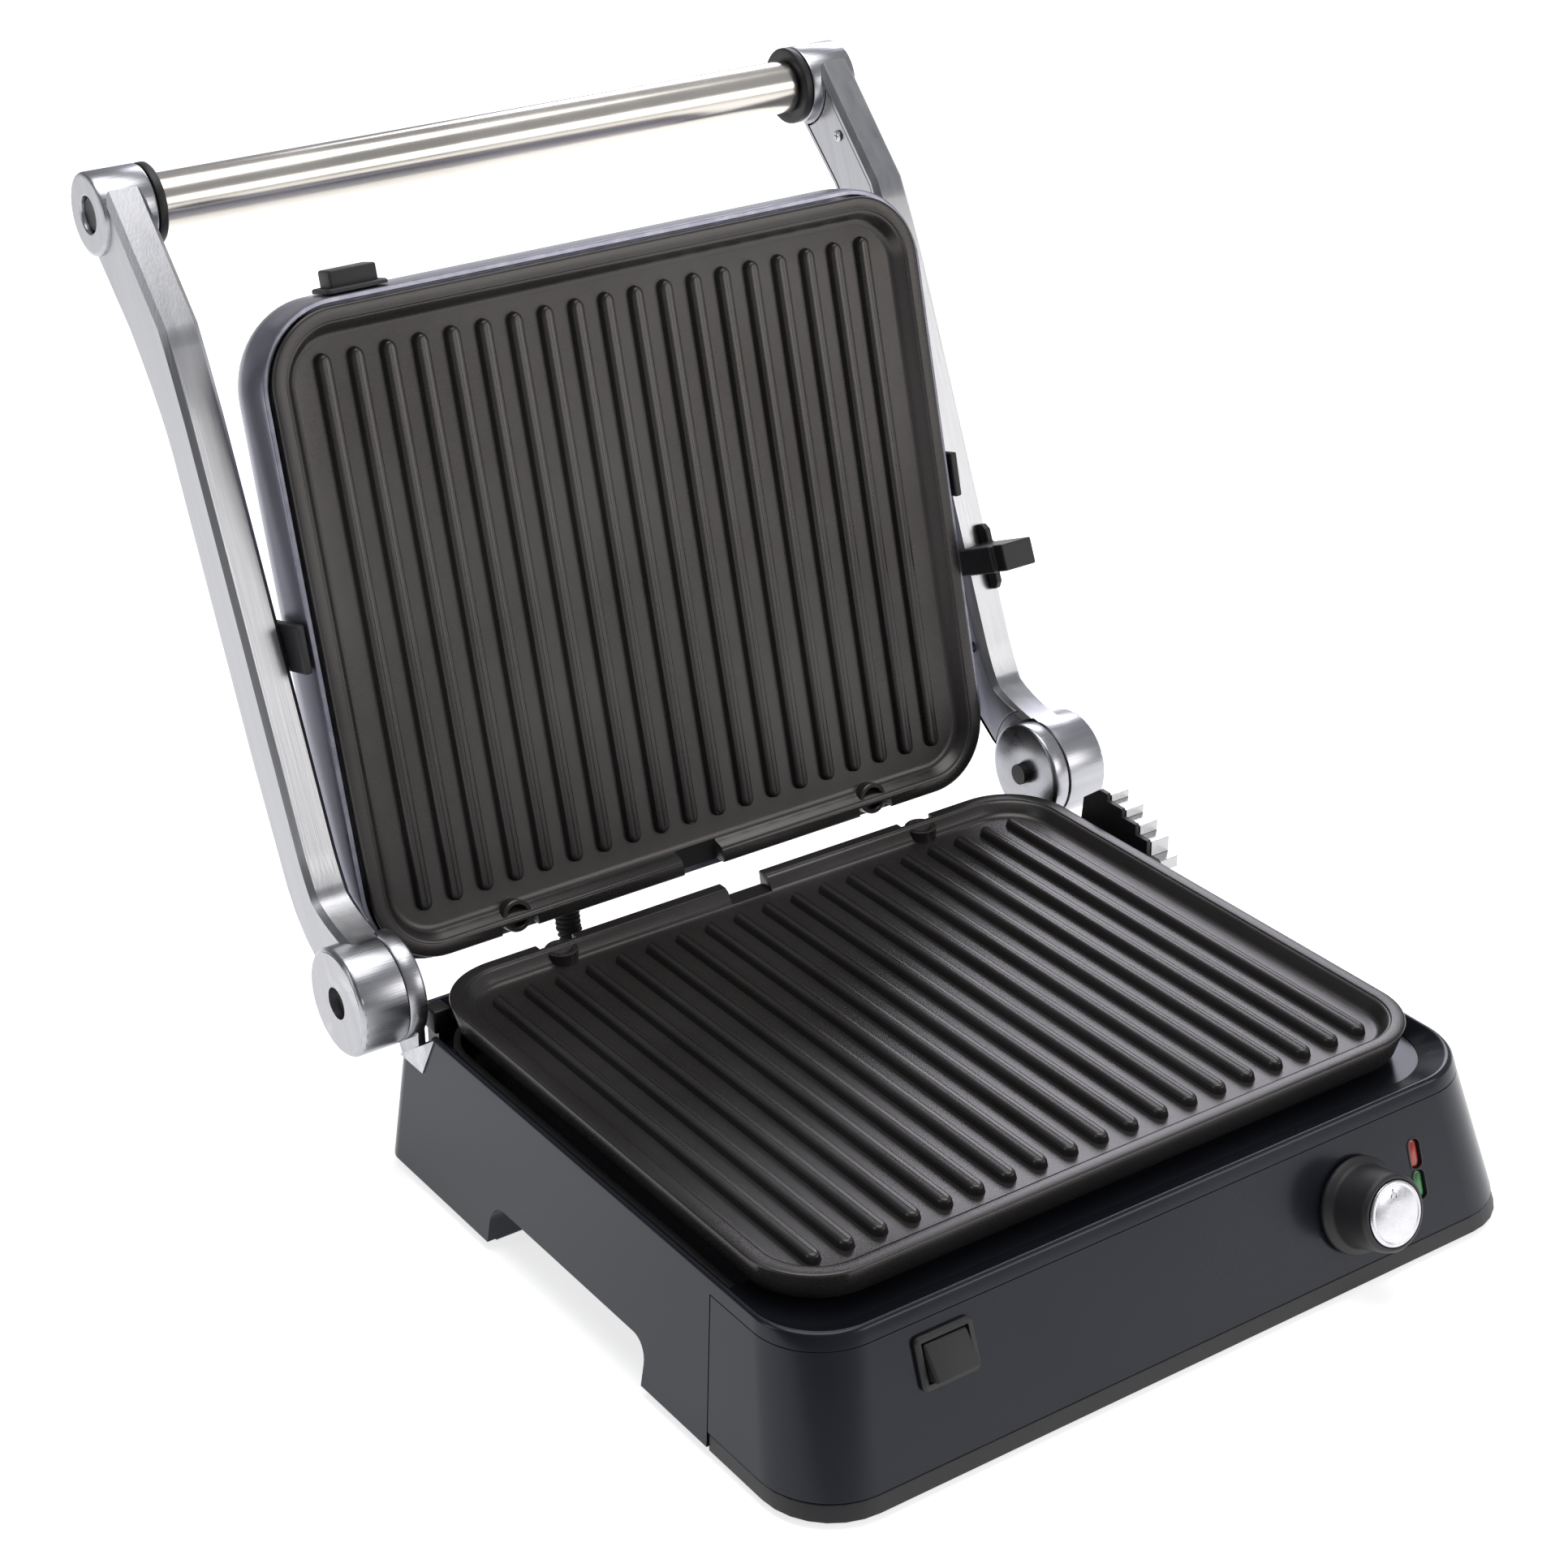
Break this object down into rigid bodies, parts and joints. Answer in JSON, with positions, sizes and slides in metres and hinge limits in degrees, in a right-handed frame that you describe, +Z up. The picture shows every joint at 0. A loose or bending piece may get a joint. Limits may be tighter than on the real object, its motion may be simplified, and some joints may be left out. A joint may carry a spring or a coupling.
{
  "type": "contact grill",
  "caption": "Open contact grill with two ribbed non-stick plates, a self-levelling lid between cast arms, a bar handle and a low tapered base with a heat knob, lamps and release buttons.",
  "frame": {"origin": "under the middle of the object's bounding box, on the surface its feet stand on", "axes": "+Z up, -Y towards the front with the knob, +X to the right as seen from the front"},
  "size_m": [0.39, 0.5287, 0.3819],
  "materials": {
    "paint": "satin",
    "non_stick": "semi-gloss non-stick coating",
    "aluminium": "brushed satin",
    "handle_chrome": "polished",
    "steel": "satin",
    "reflector": "mill finish",
    "black_plastic": "matt",
    "cap_aluminium": "spun satin",
    "rubber": "matt",
    "red_lens": "gloss",
    "green_lens": "gloss"
  },
  "bodies": {
    "base": {"base_tray": "black_plastic", "base_cover": "paint", "front_fascia": "paint", "front_trim": "black_plastic", "foot_front_left": "rubber", "foot_front_right": "rubber", "foot_rear_left": "rubber", "foot_rear_right": "rubber", "lower_plate": "non_stick", "lower_heating_element": "steel", "lower_heat_shield": "reflector", "thermostat": "black_plastic", "red_lens": "red_lens", "green_lens": "green_lens", "lamp_block": "black_plastic", "lower_release_bezel": "black_plastic", "lower_release_spring": "steel", "cable_gland": "rubber", "hinge_bracket_right": "aluminium", "hinge_bracket_left": "aluminium", "hinge_pin_right": "steel", "hinge_pin_left": "steel", "rack_carrier": "black_plastic", "rack_steps": "steel", "wiring_conduit": "rubber"},
    "knob": {"knob_body": "black_plastic", "knob_cap": "cap_aluminium", "thermostat_shaft": "steel"},
    "lower_release": {"lower_release_button": "black_plastic", "lower_release_latch": "steel"},
    "arms": {"arm_right": "aluminium", "arm_left": "aluminium", "arm_cover_right": "aluminium", "arm_cover_left": "aluminium", "lower_arm_screw_right": "steel", "lower_arm_screw_left": "steel", "upper_arm_screw_right": "steel", "upper_arm_screw_left": "steel", "handle_tube": "handle_chrome", "handle_collar_right": "black_plastic", "handle_collar_left": "black_plastic", "handle_bolt_right": "steel", "handle_bolt_left": "steel", "pivot_block_right": "black_plastic", "pivot_block_left": "black_plastic", "pivot_pin_right": "steel", "pivot_pin_left": "steel"},
    "height_slider": {"height_slider": "black_plastic"},
    "lid": {"upper_shell": "paint", "upper_plate": "non_stick", "upper_frame": "reflector", "upper_heating_element": "steel", "upper_heat_shield": "reflector", "pivot_bush_right": "black_plastic", "pivot_bush_left": "black_plastic", "upper_release_bezel": "black_plastic", "upper_release_spring": "steel"},
    "upper_release": {"upper_release_button": "black_plastic"}
  },
  "joints": [
    {"name": "arm_hinge", "type": "hinge", "parent": "base", "child": "arms", "pos_m": [0, 0.0619, 0.0789], "axis": [1, 0, 0], "range_deg": [0, 112], "deforming": ["wiring_conduit"]},
    {"name": "lid_tilt", "type": "hinge", "parent": "arms", "child": "lid", "pos_m": [0, 0.14771, 0.20303], "axis": [1, 0, 0], "range_deg": [-8.6, 0]},
    {"name": "knob_turn", "type": "hinge", "parent": "base", "child": "knob", "pos_m": [0.0899, -0.2388, 0.034], "axis": [0, -0.9444, 0.3289], "range_deg": [-270, 0]},
    {"name": "lower_release_push", "type": "slide", "parent": "base", "child": "lower_release", "axis": [0, 0.9444, -0.3289], "range_m": [0, 0.004], "stiffness_N_per_m": 900, "springref_m": -0.001, "deforming": ["lower_release_spring"]},
    {"name": "upper_release_push", "type": "slide", "parent": "lid", "child": "upper_release", "axis": [0, -0.2453, -0.9694], "range_m": [0, 0.0025], "stiffness_N_per_m": 900, "springref_m": -0.001, "deforming": ["upper_release_spring"]},
    {"name": "height_slide", "type": "slide", "parent": "arms", "child": "height_slider", "axis": [0, -0.3875, -0.9219], "range_m": [0, 0.005]}
  ],
  "couplings": [
    {"joint": "lid_tilt", "follows": "arm_hinge", "ratio": -0.0746}
  ]
}
